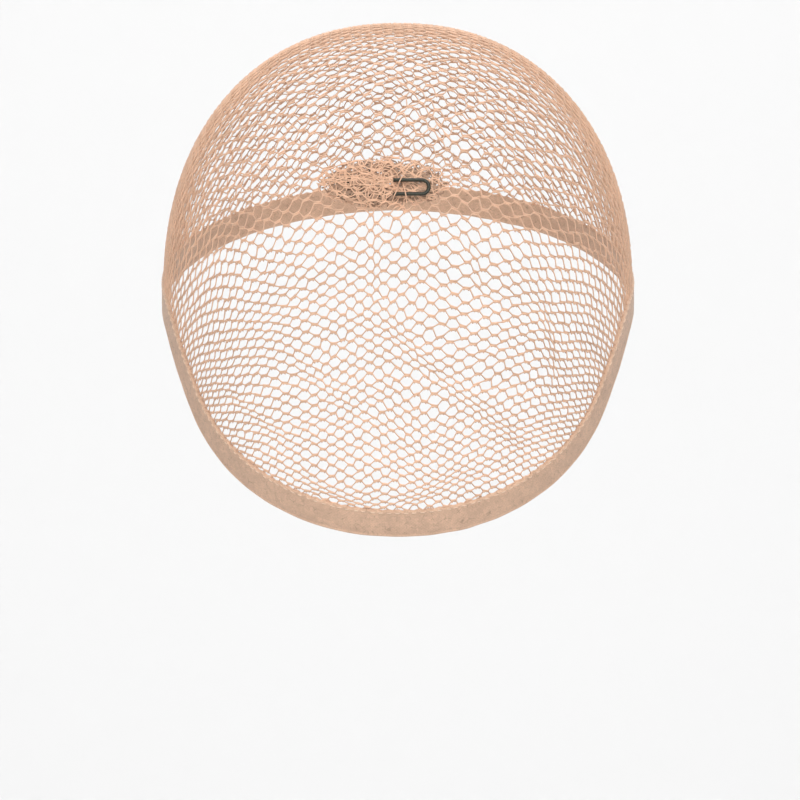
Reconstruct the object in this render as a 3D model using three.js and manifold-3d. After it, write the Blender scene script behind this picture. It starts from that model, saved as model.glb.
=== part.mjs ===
// Fishnet wig cap: a hollow net dome, an elastic rim band, a gathered tuck at the crown and the wire
// hair pin that holds the tuck. Millimetres, +Z up, +Y to the cap's front, +X to its right side as worn.
// The origin is the highest point of the hollow, where the cap is held up.
import * as THREE from 'three';
import { mergeVertices } from 'three/addons/utils/BufferGeometryUtils.js';
import Module from 'manifold-3d';

// The form that the net is stretched over: a rounded block with its own reach each way from its centre.
const form = {
  halfWidth: 78.8,
  frontDepth: 98,
  backDepth: 96,
  crownHeight: 90,
  rimDrop: 116,
  roundness: 2.2,
};

// The lower edge of the cap, right half: degrees round from the back, and height above the origin.
const rim = [
  { around: 0, height: -170.5 },
  { around: 24, height: -165.0 },
  { around: 43, height: -150.0 },
  { around: 52, height: -137.0 },
  { around: 60, height: -119.5 },
  { around: 70, height: -104.5 },
  { around: 90, height: -93.5 },
  { around: 120, height: -80.0 },
  { around: 150, height: -65.0 },
  { around: 180, height: -58.0 },
];

const band = { width: 10, thickness: 1.4, edge: 0.35, rows: 2, stations: 56 };
const net = {
  wall: 1.2,
  hub: -150,
  courseHeight: 25.2,
  columnWidth: 21.8,
  spread: 0.3,
  opening: 0.68,
  margin: 3.2,
  firstCourse: -7.5,
  lastCourse: 9.5,
  columnsPerSide: 9,
  spare: 14,
  keepDepth: 6,
  keepReach: 2,
  keepHeight: 400,
};
const tuck = {
  centreX: -4.3,
  height: -58.3,
  halfLength: 21,
  halfHeight: 8,
  rollThickness: 3.4,
  flatThickness: 1.3,
  edgeThickness: 0.6,
  foldDepth: 0.45,
  folds: 3,
  endRoundness: 0.5,
  sideRoundness: 4,
  bluntEnd: 0.12,
  rollEnd: -1.3,
  rollBlend: 3,
  alongSteps: 16,
  acrossSteps: 8,
};
const pin = {
  wire: 1.2,
  gauge: 4.3,
  centreUp: -2.2,
  bendEnd: 9.5,
  tip: -19,
  hiddenLift: 1.1,
  shownLift: 2.3,
  liftFrom: -6.3,
  liftTo: 0.7,
  stepsPerLeg: 9,
  stepsRoundBend: 6,
  sides: 8,
};
const clearance = 0.3;
const halvings = 40;

const materials = {
  net: { color: 0xd2a27c, roughness: 0.78, metalness: 0 },
  band: { color: 0xcaa890, roughness: 0.85, metalness: 0 },
  tuck: { color: 0xd6a985, roughness: 0.8, metalness: 0 },
  pin: { color: 0x3c3d33, roughness: 0.35, metalness: 0.6 },
};

const centre = new THREE.Vector3(0, 0, -form.crownHeight);
const toRadians = THREE.MathUtils.degToRad;

// Form

// The form's reach from its centre along each axis, on the side that an offset lies.
function reaches(offset) {
  return [
    form.halfWidth,
    offset.y > 0 ? form.frontDepth : form.backDepth,
    offset.z > 0 ? form.crownHeight : form.rimDrop,
  ];
}

// 1 on the form's surface, less inside and more outside.
function level(point) {
  const offset = point.clone().sub(centre);
  const [across, deep, high] = reaches(offset);
  const parts = [offset.x / across, offset.y / deep, offset.z / high];
  return parts.reduce((sum, part) => sum + Math.abs(part) ** form.roundness, 0) ** (1 / form.roundness);
}

function normalAt(point) {
  const offset = point.clone().sub(centre);
  const reach = reaches(offset);
  const power = form.roundness - 1;
  const slope = (value, limit) => (Math.sign(value) * Math.abs(value / limit) ** power) / limit;
  return new THREE.Vector3(
    slope(offset.x, reach[0]),
    slope(offset.y, reach[1]),
    slope(offset.z, reach[2]),
  ).normalize();
}

// The point where a ray from a place inside the form leaves it.
function leave(from, direction) {
  let near = 0;
  let far = 2 * (form.frontDepth + form.rimDrop);
  const at = (distance) => from.clone().addScaledVector(direction, distance);
  for (let step = 0; step < halvings; step += 1) {
    const middle = (near + far) / 2;
    if (level(at(middle)) < 1) near = middle;
    else far = middle;
  }
  return at(near);
}

const ontoForm = (point) => leave(centre, point.clone().sub(centre).normalize());
const lifted = (point, lift) => point.clone().addScaledVector(normalAt(point), lift);

// The surface point at a height and an angle round from the nape.
function formPoint(around, height) {
  const rise = height - centre.z;
  const high = rise > 0 ? form.crownHeight : form.rimDrop;
  const share = (1 - Math.abs(rise / high) ** form.roundness) ** (1 / form.roundness);
  const side = Math.sin(around);
  const back = -Math.cos(around);
  const deep = back > 0 ? form.frontDepth : form.backDepth;
  const girth = Math.abs(side / form.halfWidth) ** form.roundness + Math.abs(back / deep) ** form.roundness;
  const radius = share / girth ** (1 / form.roundness);
  return new THREE.Vector3(side * radius, back * radius, height);
}

// Rim

const rimLine = new THREE.CatmullRomCurve3(
  [
    ...rim.map((row) => formPoint(toRadians(row.around), row.height)),
    ...rim.slice(1, -1).reverse().map((row) => formPoint(toRadians(-row.around), row.height)),
  ],
  true,
  'centripetal',
);

// A place on the band: a station along the rim, and a distance up from the lower edge over the form.
function bandPoint(station, up) {
  const share = station / band.stations;
  const edge = ontoForm(rimLine.getPointAt(share));
  const along = rimLine.getTangentAt(share);
  const rise = normalAt(edge).cross(along).normalize();
  if (rise.z < 0) rise.negate();
  return ontoForm(edge.addScaledVector(rise, up));
}

// Meshes

function solidMesh(vertices, triangles) {
  const geometry = new THREE.BufferGeometry();
  const numbers = vertices.flatMap((vertex) => vertex.toArray());
  geometry.setAttribute('position', new THREE.Float32BufferAttribute(numbers, 3));
  geometry.setIndex(triangles.flat());
  return geometry;
}

// Two triangles for each cell of a grid of vertex numbers.
function gridTriangles(grid) {
  const triangles = [];
  for (let row = 0; row + 1 < grid.length; row += 1) {
    for (let i = 0; i + 1 < grid[row].length; i += 1) {
      const [a, b, c, d] = [grid[row][i], grid[row][i + 1], grid[row + 1][i + 1], grid[row + 1][i]];
      triangles.push([a, b, c], [a, c, d]);
    }
  }
  return triangles;
}

// A closed solid from sections of equally many points, joined in a ring.
function ringOf(sections) {
  const count = sections[0].length;
  const grid = sections.map((_, row) => sections[0].map((__, i) => row * count + i));
  grid.forEach((row) => row.push(row[0]));
  grid.push(grid[0]);
  return outward(solidMesh(sections.flat(), gridTriangles(grid)));
}

// The same closed mesh with its faces pointing out.
function outward(geometry) {
  const position = geometry.attributes.position;
  const index = geometry.index.array;
  const corner = (i) => new THREE.Vector3().fromBufferAttribute(position, index[i]);
  let volume = 0;
  for (let i = 0; i < index.length; i += 3) {
    volume += corner(i).dot(corner(i + 1).cross(corner(i + 2)));
  }
  if (volume < 0) {
    for (let i = 0; i < index.length; i += 3) [index[i], index[i + 1]] = [index[i + 1], index[i]];
  }
  return geometry;
}

const library = await Module();
library.setup();

function toManifold(geometry) {
  const bare = geometry.clone();
  bare.deleteAttribute('normal');
  bare.deleteAttribute('uv');
  const merged = mergeVertices(bare);
  return new library.Manifold(
    new library.Mesh({
      numProp: 3,
      vertProperties: new Float32Array(merged.attributes.position.array),
      triVerts: new Uint32Array(merged.index.array),
    }),
  );
}

function toGeometry(solid) {
  const mesh = solid.getMesh();
  const geometry = new THREE.BufferGeometry();
  geometry.setAttribute('position', new THREE.BufferAttribute(mesh.vertProperties, 3));
  geometry.setIndex(new THREE.BufferAttribute(mesh.triVerts, 1));
  return geometry;
}

// Rim band

function rimBand() {
  const sections = [];
  for (let station = 0; station < band.stations; station += 1) {
    const inner = [];
    const outer = [];
    for (let row = 0; row <= band.rows; row += 1) {
      const up = (band.width * row) / band.rows;
      const atEdge = row === 0 || row === band.rows;
      const base = bandPoint(station, up);
      inner.push(lifted(base, 0));
      outer.push(lifted(base, band.thickness - (atEdge ? band.edge : 0)));
    }
    sections.push([...inner, ...outer.reverse()]);
  }
  return ringOf(sections);
}

// Net cap

// The mid-line of the form from front to back: a point for each turn about the hub's sideways axis.
const hub = new THREE.Vector3(0, 0, net.hub);
const midTurns = { from: -100, to: 160, step: 0.5 };
const midLine = [];
for (let turn = midTurns.from; turn <= midTurns.to; turn += midTurns.step) {
  const angle = toRadians(turn);
  const point = leave(hub, new THREE.Vector3(0, -Math.sin(angle), Math.cos(angle)));
  const last = midLine.at(-1);
  midLine.push({ angle, point, run: last ? last.run + point.distanceTo(last.point) : 0 });
}
const crownRun = midLine[Math.round(-midTurns.from / midTurns.step)].run;

// The turn about the hub that lies a distance behind the crown, measured over the mid-line.
function turnAt(behind) {
  const run = crownRun + behind;
  const next = midLine.findIndex((place) => place.run > run);
  const [a, b] = [midLine[next - 1], midLine[next]];
  return a.angle + ((b.angle - a.angle) * (run - a.run)) / (b.run - a.run);
}

// The place on the form of a net position: columns to the right of the mid-line, courses behind the crown.
function netPoint(column, course) {
  const turn = turnAt(course * net.courseHeight);
  const axis = new THREE.Vector3(0, -Math.sin(turn), Math.cos(turn));
  const straight = leave(hub, axis).distanceTo(hub);
  const lean = ((column * net.columnWidth) / -net.hub) * (-net.hub / straight) ** net.spread;
  return leave(hub, axis.multiplyScalar(Math.cos(lean)).setX(Math.sin(lean)));
}

// The corners of a flat-topped hexagon round a net position, from full size down to an opening.
const hexagon = [
  { aside: 2 / 3, behind: 0 },
  { aside: 1 / 3, behind: 1 / 2 },
  { aside: -1 / 3, behind: 1 / 2 },
  { aside: -2 / 3, behind: 0 },
  { aside: -1 / 3, behind: -1 / 2 },
  { aside: 1 / 3, behind: -1 / 2 },
];

function cellCorners(column, course, size) {
  return hexagon.map((corner) => netPoint(column + corner.aside * size, course + corner.behind * size));
}

const azimuth = (point) => Math.atan2(point.x, -point.y);
const polar = (point) => Math.atan2(Math.hypot(point.x, point.y), point.z - centre.z);

// The net's lower edge just above the band: an azimuth and a polar angle for each station.
const lowerEdge = [];
for (let station = 0; station < band.stations; station += 1) {
  const point = bandPoint(station, band.width + clearance);
  lowerEdge.push({ point, azimuth: azimuth(point), polar: polar(point) });
}
const edgeByAzimuth = [...lowerEdge].sort((a, b) => a.azimuth - b.azimuth);

function polarOfEdge(angle) {
  const count = edgeByAzimuth.length;
  const found = edgeByAzimuth.findIndex((row) => row.azimuth > angle);
  const next = found < 0 ? 0 : found;
  const [a, b] = [edgeByAzimuth[(next + count - 1) % count], edgeByAzimuth[next]];
  const turn = 2 * Math.PI;
  const span = (b.azimuth - a.azimuth + turn) % turn;
  return a.polar + ((b.polar - a.polar) * ((angle - a.azimuth + turn) % turn)) / span;
}

function insideNet(point, margin) {
  return (polarOfEdge(azimuth(point)) - polar(point)) * point.distanceTo(centre) > margin;
}

const fullSize = 1;

// The cells that reach the net's side of its lower edge, and a little past it.
function netCells() {
  const cells = [];
  for (let column = -net.columnsPerSide; column <= net.columnsPerSide; column += 1) {
    const shift = Math.abs(column % 2) / 2;
    for (let course = net.firstCourse; course <= net.lastCourse; course += 1) {
      const edge = cellCorners(column, course + shift, fullSize);
      const opening = cellCorners(column, course + shift, net.opening);
      if (edge.some((corner) => insideNet(corner, -net.spare))) {
        cells.push({ edge, opening, open: opening.every((corner) => insideNet(corner, net.margin)) });
      }
    }
  }
  return cells;
}

// Both skins of every cell, the sides of its opening, and the outer sides that only one cell has.
function honeycomb(cells) {
  const vertices = [];
  const triangles = [];
  const rims = new Map();
  const add = (points) => points.map((point) => vertices.push(point) - 1);
  const quad = (a, b, c, d) => triangles.push(...[[a, b, c], [a, c, d]].map((corners) => add(corners)));
  const nameOf = (point) => point.toArray().map((value) => value.toFixed(2)).join();
  for (const cell of cells) {
    const skins = [0, net.wall].map((lift) => ({
      edge: cell.edge.map((point) => lifted(point, lift)),
      opening: cell.opening.map((point) => lifted(point, lift)),
    }));
    for (let i = 0; i < hexagon.length; i += 1) {
      const j = (i + 1) % hexagon.length;
      const [low, high] = skins;
      if (cell.open) {
        quad(high.edge[i], high.edge[j], high.opening[j], high.opening[i]);
        quad(low.edge[j], low.edge[i], low.opening[i], low.opening[j]);
        quad(high.opening[i], high.opening[j], low.opening[j], low.opening[i]);
      } else if (i > 0 && i + 1 < hexagon.length) {
        triangles.push(add([high.edge[0], high.edge[i], high.edge[j]]));
        triangles.push(add([low.edge[0], low.edge[j], low.edge[i]]));
      }
      const ends = [nameOf(cell.edge[i]), nameOf(cell.edge[j])];
      const side = [high.edge[j], high.edge[i], low.edge[i], low.edge[j]];
      rims.set(ends.join(' '), { side, back: `${ends[1]} ${ends[0]}` });
    }
  }
  for (const rim of rims.values()) if (!rims.has(rim.back)) quad(...rim.side);
  return outward(solidMesh(vertices, triangles));
}

// Everything above the net's lower edge: a cone from the form's centre out through that edge, and a far top.
function aboveEdge() {
  const crownward = new THREE.Vector3(0, 0, net.keepHeight);
  const farPoint = (edge) => edge.point.clone().sub(centre).multiplyScalar(net.keepReach).add(centre);
  const liftedEdge = (lift) => lowerEdge.map((edge) => lifted(edge.point, lift));
  const rings = [liftedEdge(-net.keepDepth), liftedEdge(net.keepDepth)];
  rings.push(lowerEdge.map(farPoint));
  const count = lowerEdge.length;
  const vertices = [centre, crownward, ...rings.flat()];
  const name = (ring, i) => 2 + ring * count + (i % count);
  const triangles = [];
  for (let i = 0; i < count; i += 1) {
    triangles.push([0, name(0, i), name(0, i + 1)], [1, name(2, i + 1), name(2, i)]);
    for (const ring of [0, 1]) {
      triangles.push([name(ring, i), name(ring + 1, i), name(ring + 1, i + 1)]);
      triangles.push([name(ring, i), name(ring + 1, i + 1), name(ring, i + 1)]);
    }
  }
  return outward(solidMesh(vertices, triangles));
}

function netCap() {
  return toGeometry(toManifold(honeycomb(netCells())).intersect(toManifold(aboveEdge())));
}

// Hair pin

// A place on the cap's outer skin near the tuck: a distance to the right and one up the back.
function patchPoint(right, up, lift) {
  const rayStart = new THREE.Vector3(right, 0, tuck.height + up);
  const base = leave(rayStart, new THREE.Vector3(0, -1, 0));
  return lifted(base, net.wall + clearance + lift);
}

const smooth = THREE.MathUtils.smoothstep;

// The wire's middle lies low under the tuck's roll and high over its flat end.
function pinLift(right) {
  return THREE.MathUtils.lerp(pin.hiddenLift, pin.shownLift, smooth(right, pin.liftFrom, pin.liftTo));
}

function pinRoute() {
  const radius = pin.gauge / 2;
  const legEnd = pin.bendEnd - radius;
  const route = [];
  for (let step = 0; step < pin.stepsPerLeg; step += 1) {
    const right = THREE.MathUtils.lerp(pin.tip, legEnd, step / pin.stepsPerLeg);
    route.push({ right, up: pin.centreUp + radius });
  }
  for (let step = 0; step <= pin.stepsRoundBend; step += 1) {
    const angle = (Math.PI * step) / pin.stepsRoundBend;
    route.push({ right: legEnd + radius * Math.sin(angle), up: pin.centreUp + radius * Math.cos(angle) });
  }
  for (let step = 1; step <= pin.stepsPerLeg; step += 1) {
    const right = THREE.MathUtils.lerp(legEnd, pin.tip, step / pin.stepsPerLeg);
    route.push({ right, up: pin.centreUp - radius });
  }
  return route.map((place) => patchPoint(place.right, place.up, pinLift(place.right)));
}

function wireAlong(points, thickness) {
  const section = new THREE.Shape();
  for (let side = 0; side <= pin.sides; side += 1) {
    const angle = (2 * Math.PI * side) / pin.sides;
    const x = (thickness / 2) * Math.cos(angle);
    const y = (thickness / 2) * Math.sin(angle);
    if (side === 0) section.moveTo(x, y);
    else section.lineTo(x, y);
  }
  const path = new THREE.CatmullRomCurve3(points);
  return new THREE.ExtrudeGeometry(section, { steps: points.length, bevelEnabled: false, extrudePath: path });
}

// Gathered tuck

function tuckThickness(along, across) {
  const right = tuck.centreX + along * tuck.halfLength;
  const roll = 1 - smooth(right, tuck.rollEnd - tuck.rollBlend / 2, tuck.rollEnd + tuck.rollBlend / 2);
  const full = THREE.MathUtils.lerp(tuck.flatThickness, tuck.rollThickness, roll);
  const swell = (1 - along ** 2) ** tuck.endRoundness * (1 - Math.abs(across) ** tuck.sideRoundness);
  const groove = (tuck.foldDepth * swell * (1 - Math.cos(Math.PI * tuck.folds * across))) / 2;
  return tuck.edgeThickness + (full - tuck.edgeThickness) * swell - groove;
}

function gatheredTuck(pinPoints) {
  const bottom = [];
  const top = [];
  for (let i = 0; i <= tuck.alongSteps; i += 1) {
    const along = (2 * i) / tuck.alongSteps - 1;
    const halfAcross = Math.max((1 - along ** 2) ** tuck.endRoundness, tuck.bluntEnd) * tuck.halfHeight;
    const low = [];
    const high = [];
    for (let j = 0; j <= tuck.acrossSteps; j += 1) {
      const across = (2 * j) / tuck.acrossSteps - 1;
      const right = tuck.centreX + along * tuck.halfLength;
      low.push(patchPoint(right, across * halfAcross, 0));
      high.push(patchPoint(right, across * halfAcross, tuckThickness(along, across)));
    }
    bottom.push(low);
    top.push(high.reverse());
  }
  const sections = bottom.map((low, i) => [...low, ...top[i]]);
  return toManifold(tubeOf(sections)).subtract(toManifold(wireAlong(pinPoints, pin.wire + 2 * clearance)));
}

// A closed solid from sections of equally many points, with a flat fan of triangles at each end.
function tubeOf(sections) {
  const count = sections[0].length;
  const grid = sections.map((_, row) => sections[0].map((__, i) => row * count + i));
  grid.forEach((row) => row.push(row[0]));
  const triangles = gridTriangles(grid);
  const half = count / 2;
  [0, sections.length - 1].forEach((row) => {
    for (let i = 0; i + 1 < half; i += 1) {
      const [a, b] = [row * count + i, row * count + i + 1];
      const [c, d] = [row * count + count - 2 - i, row * count + count - 1 - i];
      const flip = row === 0;
      triangles.push(flip ? [a, c, b] : [a, b, c]);
      triangles.push(flip ? [a, d, c] : [a, c, d]);
    }
  });
  return outward(solidMesh(sections.flat(), triangles));
}

// Assembly

function piece(name, geometry, material) {
  geometry.computeVertexNormals();
  const mesh = new THREE.Mesh(geometry, new THREE.MeshStandardMaterial(material));
  mesh.name = name;
  return mesh;
}

const pinPoints = pinRoute();
const cap = new THREE.Group();
cap.add(piece('net_cap', netCap(), materials.net));
cap.add(piece('rim_band', rimBand(), materials.band));
cap.add(piece('gathered_tuck', toGeometry(gatheredTuck(pinPoints)), materials.tuck));
cap.add(piece('hair_pin', wireAlong(pinPoints, pin.wire), materials.pin));

export default cap;
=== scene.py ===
import math

import bpy
import numpy as np
from bpy.props import FloatProperty, FloatVectorProperty, IntProperty, PointerProperty
from bpy.types import Operator, Panel, PropertyGroup
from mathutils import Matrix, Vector


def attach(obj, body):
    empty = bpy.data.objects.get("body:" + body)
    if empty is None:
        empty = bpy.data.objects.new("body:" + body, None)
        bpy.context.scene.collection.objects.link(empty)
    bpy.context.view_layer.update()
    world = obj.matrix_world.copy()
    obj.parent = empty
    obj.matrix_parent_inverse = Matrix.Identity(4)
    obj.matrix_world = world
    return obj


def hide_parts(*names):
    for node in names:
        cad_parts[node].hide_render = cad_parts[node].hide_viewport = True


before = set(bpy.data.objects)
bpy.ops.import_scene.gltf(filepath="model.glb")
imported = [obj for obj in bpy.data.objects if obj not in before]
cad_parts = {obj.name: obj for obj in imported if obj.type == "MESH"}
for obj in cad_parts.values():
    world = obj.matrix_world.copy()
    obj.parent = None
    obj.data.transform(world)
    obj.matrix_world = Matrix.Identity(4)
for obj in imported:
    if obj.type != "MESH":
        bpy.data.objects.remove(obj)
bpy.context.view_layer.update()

bl_info = {
    "name": "Fishnet Wig Cap",
    "version": (1, 0, 0),
    "blender": (4, 5, 0),
    "location": "View3D > Sidebar > Wig Cap",
    "description": "Knits a net wig cap with its rim band, gathered tuck and hair pin",
    "category": "Add Mesh",
}

# The lower edge of the cap, right half: degrees round from the back, and height above the origin.
RIM = (
    {"around": 0, "height": -0.1705},
    {"around": 24, "height": -0.1650},
    {"around": 43, "height": -0.1500},
    {"around": 52, "height": -0.1370},
    {"around": 60, "height": -0.1195},
    {"around": 70, "height": -0.1045},
    {"around": 90, "height": -0.0935},
    {"around": 120, "height": -0.0800},
    {"around": 150, "height": -0.0650},
    {"around": 180, "height": -0.0580},
)

# How tall the stretched cells are, by the distance behind the crown along the cap's mid-line.
CELL_HEIGHTS = (
    {"behind": -0.150, "height": 0.0043},
    {"behind": 0.000, "height": 0.0046},
    {"behind": 0.060, "height": 0.0058},
    {"behind": 0.085, "height": 0.0063},
    {"behind": 0.105, "height": 0.0056},
    {"behind": 0.123, "height": 0.0048},
    {"behind": 0.141, "height": 0.0042},
    {"behind": 0.156, "height": 0.0037},
    {"behind": 0.190, "height": 0.0035},
    {"behind": 0.210, "height": 0.0031},
    {"behind": 0.240, "height": 0.0029},
)

# Lines on the back that the net is drawn towards.
CREASES = (
    {"start": (0.001, -0.108), "end": (0.036, -0.138), "width": 0.0080, "pull": 0.48},
    {"start": (-0.008, -0.066), "end": (-0.007, -0.091), "width": 0.0045, "pull": 0.42},
    {"start": (0.023, -0.080), "end": (0.026, -0.090), "width": 0.0050, "pull": 0.40},
    {"start": (0.047, -0.100), "end": (0.050, -0.116), "width": 0.0055, "pull": 0.45},
    {"start": (0.001, -0.022), "end": (0.017, -0.047), "width": 0.0055, "pull": 0.42},
    {"start": (-0.026, -0.155), "end": (-0.012, -0.160), "width": 0.0070, "pull": 0.50},
    {"start": (0.006, -0.158), "end": (0.018, -0.152), "width": 0.0060, "pull": 0.35},
    {"start": (-0.052, -0.126), "end": (-0.040, -0.136), "width": 0.0065, "pull": 0.42},
    {"start": (-0.030, -0.116), "end": (-0.016, -0.128), "width": 0.0060, "pull": 0.30},
    {"start": (-0.022, -0.0583), "end": (0.014, -0.0583), "width": 0.011, "pull": 0.25},
)

# The net is knitted in bands of courses, one piece each, from the front to the back.
NET_PIECES = ("net_front", "net_top", "net_crown", "net_upper_back", "net_lower_back", "net_rear")

# The extra layers of net in the tuck: turn in degrees, cell size, level in the tuck, reach and tint. The low
# tints of all but the top two layers are painted shade, for the layers that lie under them.
TUCK_LAYERS = (
    {"turn": 33, "size": 0.90, "level": 0.04, "reach": 0.96, "shift": 0.5, "tint": 0.10},
    {"turn": -12, "size": 0.80, "level": 0.20, "reach": 0.90, "shift": 0.3, "tint": 0.15},
    {"turn": 61, "size": 0.84, "level": 0.36, "reach": 0.88, "shift": 0.8, "tint": 0.20},
    {"turn": -26, "size": 0.70, "level": 0.87, "reach": 0.80, "shift": 0.7, "tint": 0.00},
    {"turn": 48, "size": 0.68, "level": 0.89, "reach": 0.84, "shift": 0.1, "tint": 0.10},
    {"turn": 80, "size": 0.66, "level": 0.91, "reach": 0.80, "shift": 0.4, "tint": 0.20},
    {"turn": 20, "size": 0.72, "level": 0.93, "reach": 0.88, "shift": 0.9, "tint": 0.35},
    {"turn": -50, "size": 0.84, "level": 1.00, "reach": 0.96, "shift": 0.2, "tint": 0.90},
    {"turn": 5, "size": 0.90, "level": 1.06, "reach": 1.02, "shift": 0.3, "tint": 1.00},
)

# Single strands of the tuck that hook over the pin's legs: where they cross them, and their run up.
HOOKS = (
    {"right": 0.0006, "lean": 0.0012, "low": -0.0030, "high": 0.0016},
    {"right": 0.0022, "lean": -0.0006, "low": -0.0068, "high": -0.0004},
    {"right": -0.0008, "lean": 0.0010, "low": -0.0064, "high": -0.0026},
)

LIGHTS = (
    {"name": "key_light", "place": (0.3, -1.9, 1.1), "aim": (0, 0, -0.09), "width": 1.7, "power": 36},
    {"name": "fill_light", "place": (-1.3, -1.5, 0.2), "aim": (0, 0, -0.09), "width": 1.4, "power": 7},
    {"name": "top_light", "place": (0.0, 0.3, 1.5), "aim": (0, 0, -0.09), "width": 1.4, "power": 10},
    {"name": "sweep_light", "place": (0.0, 0.9, 1.6), "aim": (0, 2.6, -0.2), "width": 1.6, "power": 37},
)

# The way to the back of the cap, the halvings in a search along a ray, and the seed of all random draws.
BACKWARDS = np.array([0.0, -1.0, 0.0])
HALVINGS = 40
SEED = 41

# How far the net is knitted before it is cut at the band: degrees about the hub, and columns to each side.
NET_TURNS = (-80, 150)
NET_COLUMNS = 46

# Shares of the thread's thickness in the joined bars and in the single strands, and the least that is a bar.
BAR_GIRTH = 1.25
STRAND_GIRTH = 0.86
LEAST_BAR_GIRTH = 1.05

# The power that bends the strands' ends, and the column by which the bars at the sides are tilted.
STRAND_BEND = 1.05
TILT_COLUMN = 18

# Where the small loops hang from a bar: a share of half its length, and a share of its threads' distance.
LOOP_ASIDE = 0.6
LOOP_DROP = 1.9


# Sizes and colours


class CapForm(PropertyGroup):
    """The rounded block that the cap is stretched over"""

    half_width: FloatProperty(name="Half Width", description="Reach sideways", default=0.0788, unit="LENGTH")
    front_depth: FloatProperty(name="Front Depth", description="Reach forwards", default=0.098, unit="LENGTH")
    back_depth: FloatProperty(name="Back Depth", description="Reach backwards", default=0.096, unit="LENGTH")
    crown_height: FloatProperty(name="Crown Height", description="Reach up", default=0.090, unit="LENGTH")
    rim_drop: FloatProperty(name="Rim Drop", description="Reach down", default=0.116, unit="LENGTH")
    roundness: FloatProperty(name="Roundness", description="2 is an ellipsoid, more is boxier", default=2.2)


class NetSizes(PropertyGroup):
    """The knitted net"""

    thread: FloatProperty(name="Thread", description="Thread thickness", default=0.00050, unit="LENGTH")
    wall: FloatProperty(name="Wall", description="Thickness of the net", default=0.0012, unit="LENGTH")
    cell_width: FloatProperty(
        name="Column Width", description="Distance between columns of cells", default=0.00349, unit="LENGTH"
    )
    hub_drop: FloatProperty(
        name="Hub Drop", description="How far below the crown the courses meet", default=0.150, unit="LENGTH"
    )
    spread: FloatProperty(name="Spread", description="How much the columns hold their width", default=0.5)
    widening: FloatProperty(name="Widening", description="Growth of columns to the sides", default=0.00026)
    bar: FloatProperty(name="Bar", description="Half of a joined bar, in columns", default=0.305)
    skew: FloatProperty(name="Skew", description="Tilt of the bars at the sides, in cells", default=0.38)
    round_off: FloatProperty(name="Round Off", description="Bend at a bar's ends, in cells", default=0.016)
    pack: FloatProperty(name="Pack", description="Distance between a bar's threads, in cells", default=0.048)
    twist: FloatProperty(name="Twist", description="How far threads cross", default=0.00013, unit="LENGTH")
    jitter: FloatProperty(name="Jitter", description="Unevenness of each joined bar, in cells", default=0.060)
    wander: FloatProperty(name="Wander", description="Slow drift of the net, in cells", default=0.38)
    slack_width: FloatProperty(
        name="Slack Width", description="Column width before it is stretched", default=0.0027, unit="LENGTH"
    )
    slack_height: FloatProperty(
        name="Slack Height", description="Cell height before it is stretched", default=0.0033, unit="LENGTH"
    )
    tooth: FloatProperty(name="Tooth", description="Small loops' length", default=0.00095, unit="LENGTH")
    under_band: FloatProperty(name="Under Band", description="Net in the band", default=0.002, unit="LENGTH")
    sides: IntProperty(name="Sides", description="Sides of a thread", default=5)


class BandSizes(PropertyGroup):
    """The elastic rim band"""

    width: FloatProperty(name="Width", description="Height of the band", default=0.010, unit="LENGTH")
    thickness: FloatProperty(name="Thickness", description="Band thickness", default=0.0014, unit="LENGTH")
    rib_pitch: FloatProperty(name="Rib Pitch", description="Ribs' distance", default=0.0011, unit="LENGTH")
    rib_depth: FloatProperty(name="Rib Depth", description="Ribs' relief", default=0.00005, unit="LENGTH")
    fold: FloatProperty(name="Fold", description="Height of the folded edge", default=0.0013, unit="LENGTH")
    fold_depth: FloatProperty(name="Fold Depth", description="Groove's depth", default=0.00018, unit="LENGTH")
    wave: FloatProperty(name="Wave", description="Unevenness of the edges", default=0.00022, unit="LENGTH")
    stations: IntProperty(name="Stations", description="Sections round the band", default=1080)
    slack_width: FloatProperty(name="Slack Width", description="Slack width, as a share", default=1.05)
    slack_length: FloatProperty(name="Slack Length", description="Slack length, as a share", default=0.90)
    stitches: IntProperty(name="Stitches", description="Stitches round the upper edge", default=212)
    stitch: FloatProperty(name="Stitch", description="Length of one stitch", default=0.0017, unit="LENGTH")
    seam: FloatProperty(name="Seam", description="Seam below the upper edge", default=0.0007, unit="LENGTH")


class TuckSizes(PropertyGroup):
    """The gathered tuck"""

    right: FloatProperty(name="Right", description="Middle, to the right", default=-0.0043, unit="LENGTH")
    height: FloatProperty(name="Height", description="Middle, above origin", default=-0.0583, unit="LENGTH")
    half_length: FloatProperty(name="Half Length", description="Reach sideways", default=0.021, unit="LENGTH")
    half_height: FloatProperty(name="Half Height", description="Reach up, down", default=0.008, unit="LENGTH")
    roll: FloatProperty(name="Roll", description="Thickness over the pin", default=0.0034, unit="LENGTH")
    flat: FloatProperty(name="Flat", description="Thickness under the pin", default=0.0013, unit="LENGTH")
    edge: FloatProperty(name="Edge", description="Thickness at the edge", default=0.0006, unit="LENGTH")
    roll_end: FloatProperty(name="Roll End", description="Where roll ends", default=-0.0013, unit="LENGTH")
    roll_blend: FloatProperty(name="Roll Blend", description="Fade at its end", default=0.005, unit="LENGTH")
    layers: FloatProperty(name="Layers", description="Flat net gathered in, in layers", default=5.3)
    gathers: IntProperty(name="Gathers", description="Drawn threads along the tuck", default=16)
    arcs: IntProperty(name="Arcs", description="Loose curved threads on top", default=26)


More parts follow.
